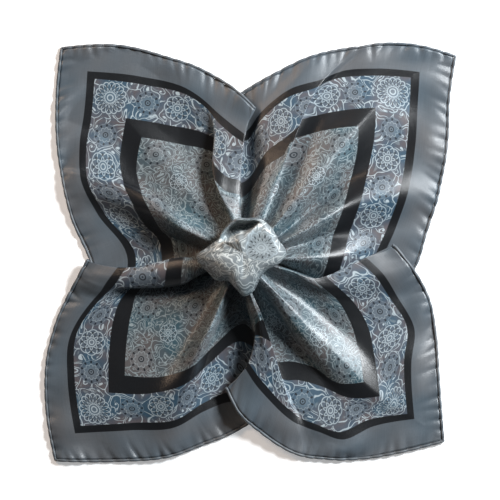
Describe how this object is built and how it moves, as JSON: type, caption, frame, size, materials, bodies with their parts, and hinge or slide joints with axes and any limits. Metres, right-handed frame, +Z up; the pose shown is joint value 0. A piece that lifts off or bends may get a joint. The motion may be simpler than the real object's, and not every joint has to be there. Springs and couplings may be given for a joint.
{
  "type": "folded pocket square",
  "caption": "Square printed silk cloth with rolled hems, laid out in petals round a raised, gathered centre; lies flat on a surface.",
  "frame": {"origin": "centre of the outline on the surface that the cloth lies on", "axes": "+Z up from the surface, +Y towards the picture's top edge, +X towards its right edge"},
  "size_m": [0.2814, 0.2864, 0.0455],
  "materials": {
    "printed_silk": "satin printed silk",
    "hem_silk": "satin silk, rolled and hand-sewn"
  },
  "bodies": {
    "root": {"silk_sheet": "printed_silk", "hem_top": "hem_silk", "hem_right": "hem_silk", "hem_bottom": "hem_silk", "hem_left": "hem_silk"}
  },
  "joints": []
}
